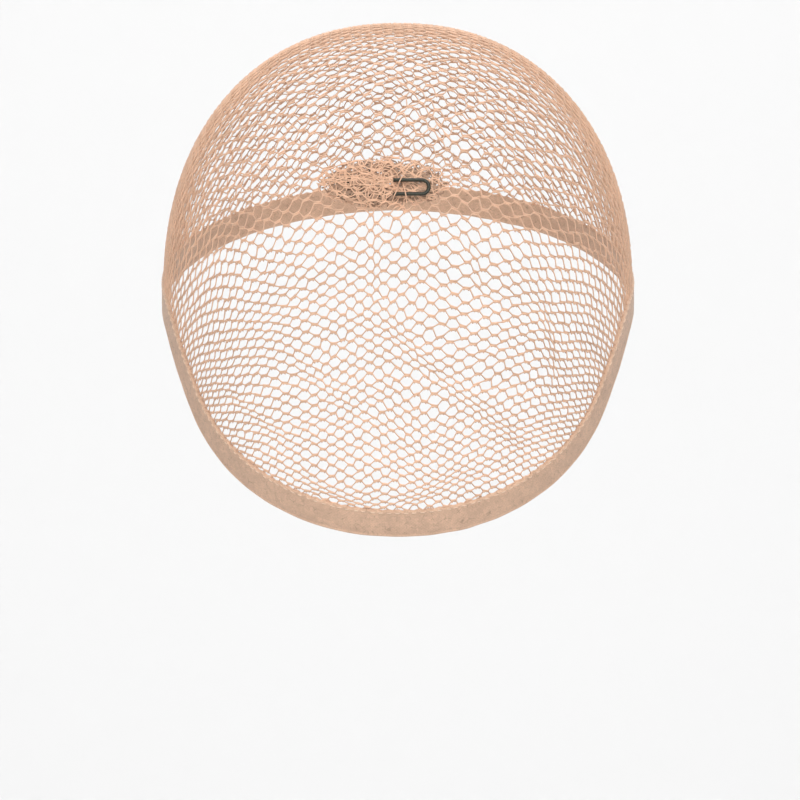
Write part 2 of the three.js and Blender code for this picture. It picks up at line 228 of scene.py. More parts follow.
class PinSizes(PropertyGroup):
    """The wire hair pin"""

    wire: FloatProperty(name="Wire", description="Thickness of the wire", default=0.0012, unit="LENGTH")
    gauge: FloatProperty(name="Gauge", description="Distance between the legs", default=0.0043, unit="LENGTH")
    centre_up: FloatProperty(
        name="Centre Up", description="Height above the tuck's middle", default=-0.0022, unit="LENGTH"
    )
    bend_end: FloatProperty(name="Bend End", description="Reach to the right", default=0.0095, unit="LENGTH")
    tip: FloatProperty(name="Tip", description="Where the legs end", default=-0.019, unit="LENGTH")
    clearance: FloatProperty(name="Clearance", description="Above the net", default=0.0003, unit="LENGTH")
    hidden_lift: FloatProperty(
        name="Hidden Lift", description="Height under the tuck's roll", default=0.0011, unit="LENGTH"
    )
    shown_lift: FloatProperty(
        name="Shown Lift", description="Height over the tuck's flat end", default=0.0023, unit="LENGTH"
    )
    lift_from: FloatProperty(name="Lift From", description="Where it rises", default=-0.0063, unit="LENGTH")
    lift_to: FloatProperty(name="Lift To", description="Where it has risen", default=0.0007, unit="LENGTH")


class CapColours(PropertyGroup):
    """Colours of the cap and its stage"""

    thread: FloatVectorProperty(
        name="Thread", description="Net thread", subtype="COLOR", size=3, default=(0.84, 0.535, 0.365)
    )
    thread_deep: FloatVectorProperty(
        name="Thread Deep",
        description="Net thread in its creases",
        subtype="COLOR",
        size=3,
        default=(0.52, 0.32, 0.215),
    )
    tuck: FloatVectorProperty(
        name="Tuck", description="Doubled thread", subtype="COLOR", size=3, default=(0.86, 0.53, 0.35)
    )
    band: FloatVectorProperty(
        name="Band", description="Elastic", subtype="COLOR", size=3, default=(0.83, 0.55, 0.385)
    )
    # The band's darker colour: its random mottle, the knit's gaps, and the painted shade of the net pressed
    # under it.
    band_deep: FloatVectorProperty(
        name="Band Deep",
        description="Elastic between its ribs",
        subtype="COLOR",
        size=3,
        default=(0.40, 0.255, 0.175),
    )
    wire: FloatVectorProperty(
        name="Wire", description="Pin enamel", subtype="COLOR", size=3, default=(0.020, 0.0215, 0.014)
    )
    paper: FloatVectorProperty(
        name="Paper", description="Studio sweep", subtype="COLOR", size=3, default=(0.70, 0.70, 0.70)
    )


class StageSizes(PropertyGroup):
    """The camera and the studio sweep"""

    distance: FloatProperty(name="Distance", description="Camera to the cap", default=1.35, unit="LENGTH")
    aim: FloatProperty(name="Aim", description="Height at picture's centre", default=-0.127, unit="LENGTH")
    frame_width: FloatProperty(name="Frame", description="Width seen at cap", default=0.273, unit="LENGTH")
    offset: FloatProperty(name="Offset", description="Camera to the right", default=0.0007, unit="LENGTH")
    floor: FloatProperty(name="Floor", description="Height of the floor", default=-0.45, unit="LENGTH")
    sweep: FloatProperty(name="Sweep", description="Radius of the sweep", default=2.6, unit="LENGTH")


# The form under the cap


class Form:
    """The rounded block that the net is stretched over, with the cap's lower edge on it"""

    def __init__(self, sizes):
        self.sizes = sizes
        self.centre = np.array([0.0, 0.0, -sizes.crown_height])

    def shares(self, points):
        """Offsets from the centre as shares of the reach that way, and those reaches."""
        offset = points - self.centre
        size = self.sizes
        reach = np.empty_like(offset)
        reach[:, 0] = size.half_width
        reach[:, 1] = np.where(offset[:, 1] > 0, size.front_depth, size.back_depth)
        reach[:, 2] = np.where(offset[:, 2] > 0, size.crown_height, size.rim_drop)
        return offset / reach, reach

    def level(self, points):
        """1 on the surface, less inside and more outside."""
        power = self.sizes.roundness
        return (np.abs(self.shares(points)[0]) ** power).sum(axis=1) ** (1 / power)

    def normals(self, points):
        share, reach = self.shares(points)
        slope = np.sign(share) * np.abs(share) ** (self.sizes.roundness - 1) / reach
        return slope / np.linalg.norm(slope, axis=1, keepdims=True)

    def leave(self, start, directions):
        """Where rays from one place or more inside leave the form."""
        near = np.zeros(len(directions))
        far = np.full(len(directions), 2 * (self.sizes.front_depth + self.sizes.rim_drop))
        for _ in range(HALVINGS):
            middle = (near + far) / 2
            inside = self.level(start + directions * middle[:, None]) < 1
            near = np.where(inside, middle, near)
            far = np.where(inside, far, middle)
        return start + directions * near[:, None]

    def onto(self, points):
        offset = points - self.centre
        return self.centre + offset / self.level(points)[:, None]

    def lift(self, points, heights):
        return points + self.normals(points) * np.broadcast_to(heights, len(points))[:, None]

    def at(self, around, height):
        """The surface point at an angle round from the back and a height."""
        size = self.sizes
        power = size.roundness
        rise = height + size.crown_height
        high = size.crown_height if rise > 0 else size.rim_drop
        share = (1 - abs(rise / high) ** power) ** (1 / power)
        side, back = math.sin(around), -math.cos(around)
        deep = size.front_depth if back > 0 else size.back_depth
        girth = (abs(side / size.half_width) ** power + abs(back / deep) ** power) ** (1 / power)
        return [side * share / girth, back * share / girth, height]


class RimLine:
    """The cap's lower edge: a closed smooth curve through the rim's rows, by its own length"""

    steps = 60
    edge_places = 720

    def __init__(self, form, band):
        self.form = form
        self.band = band
        half = [form.at(math.radians(row["around"]), row["height"]) for row in RIM]
        other = [form.at(-math.radians(row["around"]), row["height"]) for row in RIM[-2:0:-1]]
        self.line = self.smooth(np.array(half + other))
        run = np.linalg.norm(np.diff(self.line, axis=0), axis=1).cumsum()
        self.run = np.concatenate([[0], run])
        self.length = self.run[-1]
        edge = self.place(np.linspace(0, 1, self.edge_places + 1)[:-1], band.width)
        around = np.arctan2(edge[:, 0], -edge[:, 1])
        order = np.argsort(around)
        self.around = around[order]
        self.down = self.polar(edge)[order]

    def smooth(self, knots):
        """A closed curve through knots, with the knots spaced by the root of their distance."""
        count = len(knots)
        pieces = []
        share = np.linspace(0, 1, self.steps, endpoint=False)[:, None]
        for i in range(count):
            before, start, end, after = (knots[(i + k) % count] for k in (-1, 0, 1, 2))
            gap = [np.linalg.norm(b - a) ** 0.5 for a, b in ((before, start), (start, end), (end, after))]
            leave = (start - before) / gap[0] - (end - before) / (gap[0] + gap[1]) + (end - start) / gap[1]
            arrive = (end - start) / gap[1] - (after - start) / (gap[1] + gap[2]) + (after - end) / gap[2]
            leave, arrive = leave * gap[1], arrive * gap[1]
            square = -3 * start + 3 * end - 2 * leave - arrive
            cube = 2 * start - 2 * end + leave + arrive
            pieces.append(start + leave * share + square * share**2 + cube * share**3)
        line = np.concatenate(pieces)
        return np.concatenate([line, line[:1]])

    def on_line(self, run):
        return np.stack([np.interp(run, self.run, self.line[:, axis]) for axis in range(3)], axis=1)

    def place(self, shares, up):
        """Places on the form, a share of the way round and a distance up from the lower edge."""
        run = (np.asarray(shares) % 1) * self.length
        nudge = self.length / 2000
        along = self.on_line((run + nudge) % self.length) - self.on_line((run - nudge) % self.length)
        edge = self.form.onto(self.on_line(run))
        rise = np.cross(self.form.normals(edge), along)
        rise /= np.linalg.norm(rise, axis=1, keepdims=True)
        rise *= np.sign(rise[:, 2])[:, None]
        return self.form.onto(edge + rise * np.broadcast_to(up, len(edge))[:, None])

    def polar(self, points):
        offset = points - self.form.centre
        return np.arctan2(np.hypot(offset[:, 0], offset[:, 1]), offset[:, 2])

    def room(self, points):
        """How far points on the form lie above the band's upper edge."""
        around = np.arctan2(points[:, 0], -points[:, 1])
        edge = np.interp(around, self.around, self.down, period=2 * math.pi)
        return (edge - self.polar(points)) * np.linalg.norm(points - self.form.centre, axis=1)


class NetPlan:
    """Where a net position, in columns and courses, lies on the form"""

    def __init__(self, form, sizes):
        self.form = form
        self.sizes = sizes
        self.hub = np.array([0.0, 0.0, -sizes.hub_drop])
        self.turns = np.radians(np.arange(-100, 160, 0.25))
        straight = np.stack([0 * self.turns, -np.sin(self.turns), np.cos(self.turns)], axis=1)
        middle = form.leave(self.hub, straight)
        step = np.linalg.norm(np.diff(middle, axis=0), axis=1)
        run = np.concatenate([[0], step.cumsum()])
        behind = run - np.interp(0, self.turns, run)
        self.reach = np.linalg.norm(middle - self.hub, axis=1)
        known = [[row[key] for row in CELL_HEIGHTS] for key in ("behind", "height")]
        heights = np.interp(behind, *known)
        courses = np.concatenate([[0], (step / heights[1:]).cumsum()])
        self.courses = courses - np.interp(0, self.turns, courses)

    def place(self, column, course):
        size = self.sizes
        turn = np.interp(course, self.courses, self.turns)
        reach = np.interp(course, self.courses, self.reach)
        lean = column * size.cell_width / size.hub_drop * (size.hub_drop / reach) ** size.spread
        lean = np.clip(lean * (1 + size.widening * column**2), -1.5, 1.5)
        towards = np.stack(
            [np.sin(lean), -np.sin(turn) * np.cos(lean), np.cos(turn) * np.cos(lean)], axis=1
        )
        return self.form.leave(self.hub, towards)


def drift(rng, column, course, amount, shortest=7, longest=30, waves=7):
    """A smooth, uneven shift over the net, with waves of these lengths in cells."""
    total = np.zeros_like(column)
    for _ in range(waves):
        angle, phase = rng.uniform(0, 2 * math.pi, 2)
        length = rng.uniform(shortest, longest)
        across = column * math.cos(angle) + course * math.sin(angle)
        total += np.sin(2 * math.pi * across / length + phase) * (length / longest) ** 0.5
    return total * amount / waves**0.5


def drawn_to_creases(form, points):
    """Points on the form, shifted over it towards the creases."""
    moved = points.copy()
    on_back = points[:, 1] < 0
    for crease in CREASES:
        ends = np.array([[x, 0, z] for x, z in (crease["start"], crease["end"])])
        start, end = form.leave(ends, np.array([BACKWARDS, BACKWARDS]))
        length = np.linalg.norm(end - start)
        direction = (end - start) / length
        along = (points - start) @ direction
        beyond = np.maximum(np.maximum(-along, along - length), 0)
        offset = start + along[:, None] * direction - points
        distance = np.hypot(np.linalg.norm(offset, axis=1), beyond)
        fade = np.exp(-((distance / crease["width"]) ** 2)) * on_back
        moved += offset * (crease["pull"] * fade)[:, None]
    return form.onto(moved)


# Threads


class Threads:
    """Runs of thread points with their girth and tint, and the points of the small loops"""

    def __init__(self):
        self.points = []
        self.girths = []
        self.tints = []
        self.edges = []
        self.teeth = []
        self.hangs = []
        self.count = 0
        self.flat = None
        self.flat_area = None

    def add_run(self, points, girths, tint):
        number = len(points)
        self.points.append(points)
        self.girths.append(np.broadcast_to(girths, number))
        self.tints.append(np.broadcast_to(tint, number))
        first = self.count + np.arange(number - 1)
        self.edges.append(np.stack([first, first + 1], axis=1))
        self.count += number

    def add_teeth(self, points, hangs):
        self.teeth.append(points)
        self.hangs.append(hangs)

    def mesh(self, name):
        """A mesh of edges and loose points, with the attributes that the thread tree reads."""
        loops = np.concatenate(self.teeth) if self.teeth else np.empty((0, 3))
        hangs = np.concatenate(self.hangs) if self.hangs else np.empty((0, 3))
        points = np.concatenate(self.points + [loops])
        edges = np.concatenate(self.edges)
        mesh = bpy.data.meshes.new(name)
        mesh.vertices.add(len(points))
        mesh.vertices.foreach_set("co", points.ravel())
        mesh.edges.add(len(edges))
        mesh.edges.foreach_set("vertices", edges.ravel())
        girths = np.concatenate(self.girths + [np.zeros(len(loops))])
        tints = np.concatenate(self.tints + [np.full(len(loops), 0.5)])
        mesh.attributes.new("girth", "FLOAT", "POINT").data.foreach_set("value", girths)
        mesh.attributes.new("tint", "FLOAT", "POINT").data.foreach_set("value", tints)
        down = np.concatenate([np.zeros((len(points) - len(loops), 3)), hangs])
        mesh.attributes.new("hang", "FLOAT_VECTOR", "POINT").data.foreach_set("vector", down.ravel())
        mesh.update()
        return mesh


def knit(rng, columns, rows, sizes):
    """Zigzag threads in net positions: a row of arrays for each thread.

    Each thread swings between two half courses and lies beside the next thread along every joined bar.
    """
    side = np.arange(-columns, columns + 1)
    half_rows = np.arange(rows[0], rows[1] + 2)
    shape = (len(half_rows), len(side))
    aside = rng.normal(0, sizes.jitter, shape)
    behind = rng.normal(0, sizes.jitter, shape)
    tilt = rng.normal(0, 2 * sizes.jitter, shape) - sizes.skew * np.tanh((side / TILT_COLUMN) ** 3)
    threads = []
    for row in range(rows[0], rows[1] + 1):
        low = (side + row) % 2 != 0
        here = row - rows[0] + low
        shift, drop, lean = (values[here, np.arange(len(side))] for values in (aside, behind, tilt))
        course = (row + low) / 2 + np.where(low, -sizes.pack, sizes.pack)
        parts = []
        for sign in (-1, 0, 1):
            away = np.where(low, -1.0, 0.4) * abs(sign) * sizes.round_off
            column_part = side + shift + sign * sizes.bar
            course_part = course + drop + away + sign * sizes.bar * lean
            twist = sign * np.where(low, 1.0, -1.0)
            parts.append((column_part, course_part, np.full(len(side), BAR_GIRTH), twist))
        starts = [values[:-1] for values in parts[2][:2]]
        ends = [values[1:] for values in parts[0][:2]]
        for share in (0.25, 0.5, 0.75):
            rounded = np.where(low[:-1], share**STRAND_BEND, 1 - (1 - share) ** STRAND_BEND)
            column_part, course_part = (
                np.append(start + (end - start) * part, np.nan)
                for start, end, part in zip(starts, ends, (share, rounded))
            )
            parts.append((column_part, course_part, np.full(len(side), STRAND_GIRTH), np.zeros(len(side))))
        stacked = np.array(parts).transpose(1, 2, 0).reshape(4, -1)
        kept = stacked[:, ~np.isnan(stacked[0])]
        threads.append(dict(zip(("column", "course", "girth", "twist"), kept)))
    bars = {"column": side + aside, "course": half_rows[:, None] / 2 + behind}
    even = (side + half_rows[:, None]) % 2 == 0
    teeth = {"column": bars["column"][even], "course": bars["course"][even], "tilt": tilt[even]}
    return threads, teeth


def kept_runs(keep, shortest=6):
    """First and last index of each unbroken stretch that is kept."""
    change = np.diff(np.concatenate([[0], keep.astype(int), [0]]))
    starts, ends = np.where(change == 1)[0], np.where(change == -1)[0]
    return [(a, b) for a, b in zip(starts, ends) if b - a >= shortest]


def net_threads(form, rim, sizes):
    """The whole net, as one Threads for each of its pieces."""
    rng = np.random.default_rng(SEED)
    plan = NetPlan(form, sizes)
    rows = [int(2 * course) for course in np.interp(np.radians(NET_TURNS), plan.turns, plan.courses)]
    threads, teeth = knit(rng, NET_COLUMNS, rows, sizes)
    state = rng.integers(1 << 30)

    def placed(column, course):
        waves = np.random.default_rng(state)
        moved_column = column + drift(waves, column, course, sizes.wander)
        moved_course = course + drift(waves, column, course, sizes.wander)
        return drawn_to_creases(form, plan.place(moved_column, moved_course))

    counts = [len(thread["column"]) for thread in threads]
    column, course, girth, twist = (
        np.concatenate([thread[key] for thread in threads]) for key in ("column", "course", "girth", "twist")
    )
    base = placed(column, course)
    room = rim.room(base)
    girth = girth * (1 + rng.normal(0, 0.08, len(girth)))
    points = form.lift(base, sizes.wall / 2 + twist * sizes.twist)
    runs = []
    start = 0
    for count in counts:
        tint = rng.random()
        for first, last in kept_runs(room[start : start + count] > -sizes.under_band):
            runs.append((start + first, start + last, 0.42 + 0.38 * tint))
        start += count
    total = sum(last - first for first, last, _ in runs)
    pieces = [Threads() for _ in NET_PIECES]
    done = 0
    bounds = []
    for first, last, tint in runs:
        number = min(int(done / total * len(NET_PIECES)), len(NET_PIECES) - 1)
        # Joined bars get 0.20 more tint: a painted highlight, for the glints where the threads meet.
        joined = np.where(girth[first:last] > LEAST_BAR_GIRTH, 0.20, 0)
        pieces[number].add_run(points[first:last], girth[first:last], tint + joined)
        bounds.append((course[first:last].mean(), number))
        done += last - first
    add_loops(form, rim, sizes, placed, teeth, pieces, bounds)
    return pieces


def add_loops(form, rim, sizes, placed, teeth, pieces, bounds):
    """The two small loops that hang from each joined bar."""
    limits = [min(course for course, piece in bounds if piece == number) for number in range(1, len(pieces))]
    for side in (-1, 1):
        aside = side * LOOP_ASIDE * sizes.bar
        column = teeth["column"] + aside
        course = teeth["course"] + LOOP_DROP * sizes.pack + aside * teeth["tilt"]
        place = placed(column, course)
        hang = placed(column, course + 0.1) - place
        hang /= np.linalg.norm(hang, axis=1, keepdims=True)
        inside = rim.room(place) > 0
        place = form.lift(place, sizes.wall / 2)
        number = np.searchsorted(limits, teeth["course"])
        for piece in range(len(pieces)):
            chosen = inside & (number == piece)
            pieces[piece].add_teeth(place[chosen], hang[chosen])
            wide, long = sizes.slack_width, sizes.slack_height
            pieces[piece].flat = ((np.ptp(column[chosen]) + 1) * wide, (np.ptp(course[chosen]) + 1) * long)
            pieces[piece].flat_area = chosen.sum() * wide * long


# Node trees


def set_inputs(node, inputs):
    """Links a node's inputs from sockets, or sets them to values."""
    for name, value in inputs.items():
        if isinstance(value, bpy.types.NodeSocket):
            node.id_data.links.new(value, node.inputs[name])
        else:
            node.inputs[name].default_value = value


def add_node(tree, kind, inputs=None, **settings):
    made = tree.nodes.new(kind)
    for name, value in settings.items():
        setattr(made, name, value)
    set_inputs(made, inputs or {})
    return made


def calculate(tree, operation, *values):
    """What a math node makes of its values."""
    return add_node(tree, "ShaderNodeMath", dict(enumerate(values)), operation=operation).outputs[0]


def carry(tree, value, before, after):
    """A value carried from one range to another, and held at that range's ends."""
    ends = dict(zip(("From Min", "From Max", "To Min", "To Max"), (*before, *after)))
    return add_node(tree, "ShaderNodeMapRange", {"Value": value, **ends}).outputs[0]


def blend(tree, share, first, second):
    inputs = {"Factor": share, 6: first, 7: second}
    return add_node(tree, "ShaderNodeMix", inputs, data_type="RGBA").outputs[2]


def new_group(name, kind, inputs, outputs):
    """A node group with its sockets, and the sockets of its input and output nodes."""
    tree = bpy.data.node_groups.new(name, kind)
    for title, socket, default in inputs:
        made = tree.interface.new_socket(title, in_out="INPUT", socket_type="NodeSocket" + socket)
        if default is not None:
            made.default_value = default
    for title, socket in outputs:
        tree.interface.new_socket(title, in_out="OUTPUT", socket_type="NodeSocket" + socket)
    return tree, add_node(tree, "NodeGroupInput").outputs, add_node(tree, "NodeGroupOutput").inputs


def thread_tree():
    """Turns edges into round threads, and loose points into small hanging loops."""
    if "Knit Threads" in bpy.data.node_groups:
        return bpy.data.node_groups["Knit Threads"]
    inputs = (
        ("Geometry", "Geometry", None),
        ("Thread", "Float", 0.0005),
        ("Sides", "Int", 5),
        ("Loop Length", "Float", 0.0006),
        ("Seed", "Int", SEED),
        ("Material", "Material", None),
    )
    tree, given, result = new_group("Knit Threads", "GeometryNodeTree", inputs, [("Geometry", "Geometry")])
    thread = given["Thread"]

    circle = {"Resolution": given["Sides"], "Radius": calculate(tree, "MULTIPLY", thread, 0.5)}
    profile = add_node(tree, "GeometryNodeCurvePrimitiveCircle", circle)
    girth = add_node(tree, "GeometryNodeInputNamedAttribute", {"Name": "girth"})
    curve = add_node(tree, "GeometryNodeMeshToCurve", {"Mesh": given["Geometry"]})
    tube_inputs = {
        "Curve": curve.outputs["Curve"],
        "Profile Curve": profile.outputs["Curve"],
        "Scale": girth.outputs["Attribute"],
        "Fill Caps": True,
    }
    tube = add_node(tree, "GeometryNodeCurveToMesh", tube_inputs)

    hang_node = add_node(tree, "GeometryNodeInputNamedAttribute", {"Name": "hang"}, data_type="FLOAT_VECTOR")
    hang = hang_node.outputs["Attribute"]
    length = add_node(tree, "ShaderNodeVectorMath", {0: hang}, operation="LENGTH").outputs["Value"]
    is_loop = add_node(tree, "FunctionNodeCompare", {0: length, 1: 0.5}, operation="GREATER_THAN")
    turn = add_node(tree, "FunctionNodeAlignRotationToVector", {"Vector": hang}, axis="Z")
    bead = add_node(tree, "GeometryNodeMeshUVSphere", {"Segments": 4, "Rings": 3, "Radius": 0.5})
    sides = {"X": thread, "Y": thread, "Z": given["Loop Length"]}
    size = add_node(tree, "ShaderNodeCombineXYZ", sides).outputs[0]
    vary = add_node(tree, "FunctionNodeRandomValue", {2: 0.75, 3: 1.25, "Seed": given["Seed"]}).outputs[1]
    scale = add_node(tree, "ShaderNodeVectorMath", {0: size, "Scale": vary}, operation="SCALE")
    place_inputs = {
        "Points": given["Geometry"],
        "Selection": is_loop.outputs[0],
        "Instance": bead.outputs["Mesh"],
        "Rotation": turn.outputs["Rotation"],
        "Scale": scale.outputs[0],
    }
    place = add_node(tree, "GeometryNodeInstanceOnPoints", place_inputs)

    both = add_node(tree, "GeometryNodeJoinGeometry")
    for geometry in (place.outputs["Instances"], tube.outputs["Mesh"]):
        set_inputs(both, {0: geometry})
    plain = add_node(tree, "GeometryNodeRealizeInstances", {0: both.outputs[0]})
    smooth = add_node(tree, "GeometryNodeSetShadeSmooth", {"Geometry": plain.outputs[0]}).outputs[0]
    paint = add_node(tree, "GeometryNodeSetMaterial", {"Geometry": smooth, "Material": given["Material"]})
    tree.links.new(paint.outputs[0], result[0])
    return tree


# Materials


def fibre_group():
    """Fine fibre grain and slow shade changes, shared by the net, the tuck and the band."""
    if "Fibre Grain" in bpy.data.node_groups:
        return bpy.data.node_groups["Fibre Grain"]
    inputs = (
        ("Light", "Color", (0.8, 0.6, 0.5, 1)),
        ("Deep", "Color", (0.5, 0.3, 0.2, 1)),
        ("Shade", "Float", 0.3),
        ("Grain Size", "Float", 0.0002),
        ("Patch Size", "Float", 0.01),
        ("Relief", "Float", 0.00004),
        ("Roughness", "Float", 0.6),
    )
    outputs = (("Colour", "Color"), ("Roughness", "Float"), ("Height", "Float"))
    tree, given, result = new_group("Fibre Grain", "ShaderNodeTree", inputs, outputs)
    place = add_node(tree, "ShaderNodeTexCoord").outputs["Object"]

    def noise(size_name, detail):
        inputs = {"Vector": place, "Scale": calculate(tree, "DIVIDE", 1, given[size_name]), "Detail": detail}
        return add_node(tree, "ShaderNodeTexNoise", inputs).outputs["Fac"]

    grain = noise("Grain Size", 2)
    mixed = calculate(tree, "MULTIPLY", grain, noise("Patch Size", 3))
    share = calculate(tree, "MULTIPLY", carry(tree, mixed, (0.15, 0.40), (1, 0)), given["Shade"])
    tree.links.new(blend(tree, share, given["Light"], given["Deep"]), result["Colour"])
    tree.links.new(calculate(tree, "MULTIPLY_ADD", grain, 0.2, given["Roughness"]), result["Roughness"])
    tree.links.new(calculate(tree, "MULTIPLY", grain, given["Relief"]), result["Height"])
    return tree


def new_material(name):
    material = bpy.data.materials.new(name)
    material.use_nodes = True
    tree = material.node_tree
    return material, tree, tree.nodes["Principled BSDF"]


def use_fibre(tree, shader, light, deep, **values):
    """Puts the fibre group in a material and links its outputs, with its height as a bump."""
    inputs = {name.replace("_", " ").title(): value for name, value in values.items()}
    inputs |= {"Light": (*light, 1), "Deep": (*deep, 1)}
    fibre = add_node(tree, "ShaderNodeGroup", inputs, node_tree=fibre_group()).outputs
    bump = add_node(tree, "ShaderNodeBump", {"Distance": 1, "Height": fibre["Height"]})
    set_inputs(shader, {"Normal": bump.outputs["Normal"], "Roughness": fibre["Roughness"]})
    return fibre, bump


def thread_material(name, light, deep, shade, darkest):
    """Nylon thread: a soft sheen, and each thread a little lighter or darker than the next. The same tint
    also carries painted highlight on the net's joined bars and painted shade on the tuck's lower layers.
    """
    material, tree, shader = new_material(name)
    grain = {"grain_size": 0.00025, "patch_size": 0.012, "relief": 0.00003, "roughness": 0.42}
    fibre, _ = use_fibre(tree, shader, light, deep, shade=shade, **grain)
    # The tint scales the colour from darkest up: random per thread, plus painted highlight on joined bars and
    # painted shade on the tuck's lower layers.
    tint = add_node(tree, "ShaderNodeAttribute", attribute_name="tint").outputs["Fac"]
    shift = carry(tree, tint, (0, 1), (darkest, 1.06))
    tinted = add_node(tree, "ShaderNodeVectorMath", {0: fibre["Colour"], "Scale": shift}, operation="SCALE")
    set_inputs(shader, {"Base Color": tinted.outputs[0], "Sheen Weight": 0.15, "Sheen Roughness": 0.4})
    return material


def band_material(colours):
    """Knitted elastic: fine stitches in rows, faint square mottling, broken dark lines painted as the shade
    of the net pressed under the band, and paler hems.
    """
    material, tree, shader = new_material("elastic_band")
    grain = {"shade": 0.35, "grain_size": 0.0005, "patch_size": 0.006, "relief": 0.00012, "roughness": 0.66}
    fibre, bump = use_fibre(tree, shader, colours.band, colours.band_deep, **grain)
    place = add_node(tree, "ShaderNodeUVMap", uv_map="band").outputs["UV"]
    stitch_sizes = {
        "Vector": place,
        "Scale": 1,
        "Brick Width": 0.0011,
        "Row Height": 0.00055,
        "Mortar Size": 0.00012,
        "Mortar Smooth": 0.8,
    }
    stitches = add_node(tree, "ShaderNodeTexBrick", stitch_sizes, offset=0.5).outputs["Fac"]
    square_inputs = {"Vector": place, "Scale": 1 / 0.0012}
    squares = add_node(tree, "ShaderNodeTexVoronoi", square_inputs, distance="CHEBYCHEV")
    shades = add_node(tree, "ShaderNodeSeparateColor", {0: squares.outputs["Color"]})
    # Broken dark lines, faint and cut up by noise: the painted shade of the net's threads pressed under the
    # band.
    pressed_net_inputs = {"Vector": place, "Scale": 1 / 0.0022}
    pressed_net_shade = add_node(tree, "ShaderNodeTexVoronoi", pressed_net_inputs, feature="DISTANCE_TO_EDGE")
    line = carry(tree, pressed_net_shade.outputs["Distance"], (0, 0.07), (1, 0))
    cloud = add_node(tree, "ShaderNodeTexNoise", {"Vector": place, "Scale": 420, "Detail": 4})
    broken = calculate(tree, "MULTIPLY", line, carry(tree, cloud.outputs["Fac"], (0.48, 0.66), (0, 1)))
    faint = calculate(tree, "MULTIPLY", broken, 0.7)
    mottle_and_painted_shade = calculate(tree, "MULTIPLY_ADD", shades.outputs[0], 0.24, faint)
    # The share of the darker band colour: random squares, the painted shade lines and the knit's gaps,
    # lessened at the hems.
    tone_and_painted_shade = calculate(tree, "MULTIPLY_ADD", stitches, 0.25, mottle_and_painted_shade)
    across = add_node(tree, "ShaderNodeSeparateXYZ", {0: place}).outputs["Y"]
    for outer, inner, least in ((0.0006, 0.0013, 0.45), (0.0093, 0.0082, 0.80)):
        tone_and_painted_shade = calculate(tree, "MULTIPLY", tone_and_painted_shade, carry(tree, across, (outer, inner), (least, 1)))
    colour = blend(tree, tone_and_painted_shade, fibre["Colour"], (*colours.band_deep, 1))
    set_inputs(bump, {"Height": calculate(tree, "MULTIPLY_ADD", stitches, -0.00006, fibre["Height"])})
    set_inputs(shader, {"Base Color": colour, "Sheen Weight": 0.2, "Sheen Roughness": 0.5})
    return material


def wire_material(colours):
    """Enamelled wire: dark and smooth, with small wear marks that are a little lighter."""
    material, tree, shader = new_material("pin_wire")
    place = add_node(tree, "ShaderNodeTexCoord").outputs["Object"]
    wear = add_node(tree, "ShaderNodeTexNoise", {"Vector": place, "Scale": 1800, "Detail": 5}).outputs["Fac"]
    ramp = add_node(tree, "ShaderNodeValToRGB", {"Fac": wear})
    for stop, position, lightness in zip(ramp.color_ramp.elements, (0.42, 0.78), (1, 2.6)):
        stop.position = position
        stop.color = (*[lightness * value for value in colours.wire], 1)
    roughness = carry(tree, wear, (0, 1), (0.24, 0.46))
    colour = ramp.outputs["Color"]
    set_inputs(shader, {"Base Color": colour, "Roughness": roughness, "Specular IOR Level": 0.35})
    return material


def paper_material(colours):
    material, _, shader = new_material("studio_paper")
    set_inputs(shader, {"Base Color": (*colours.paper, 1), "Roughness": 0.9})
    return material


# Pieces


def settings():
    return bpy.context.scene.wig_cap


def form_and_rim():
    size = settings()
    form = Form(size.form)
    return form, RimLine(form, size.band)


def patch(form, right, up):
    """Places on the back of the form near the tuck, under the net."""
    start = np.stack([right, np.zeros(len(right)), settings().tuck.height + up], axis=1)
    return form.leave(start, np.broadcast_to(BACKWARDS, start.shape))


def smooth_step(value, low, high):
    share = np.clip((value - low) / (high - low), 0, 1)
    return share * share * (3 - 2 * share)


def tuck_thickness(along, across):
    """How thick the tuck lies, by shares of its half length and half height."""
    tuck = settings().tuck
    right = tuck.right + along * tuck.half_length
    half = tuck.roll_blend / 2
    roll = 1 - smooth_step(right, tuck.roll_end - half, tuck.roll_end + half)
    full = tuck.flat + (tuck.roll - tuck.flat) * roll
    swell = np.sqrt(np.clip(1 - along**2, 0, 1)) * np.clip(1 - across**4, 0, 1)
    return tuck.edge + (full - tuck.edge) * swell


def pin_height(right):
    """How high the middle of the pin's wire lies over the form."""
    size = settings()
    pin = size.pin
    rise = smooth_step(right, pin.lift_from, pin.lift_to)
    return size.net.wall + pin.clearance + pin.hidden_lift + (pin.shown_lift - pin.hidden_lift) * rise


def near_legs(right, up):
    """1 over the hidden legs of the pin, less beside them and 0 where they show."""
    size = settings()
    pin, tuck = size.pin, size.tuck
    before_tip = 0.0014
    beside = 0.0016
    aside = np.abs(np.abs(up - pin.centre_up) - pin.gauge / 2)
    hidden = smooth_step(right, pin.tip - before_tip, pin.tip)
    hidden = hidden * (1 - smooth_step(right, tuck.roll_end - 0.0005, tuck.roll_end + 0.0007))
    return hidden * np.exp(-((np.maximum(aside - pin.wire / 2, 0) / beside) ** 2))


def add_object(name, data):
    obj = bpy.data.objects.new(name, data)
    bpy.context.scene.collection.objects.link(obj)
    return obj


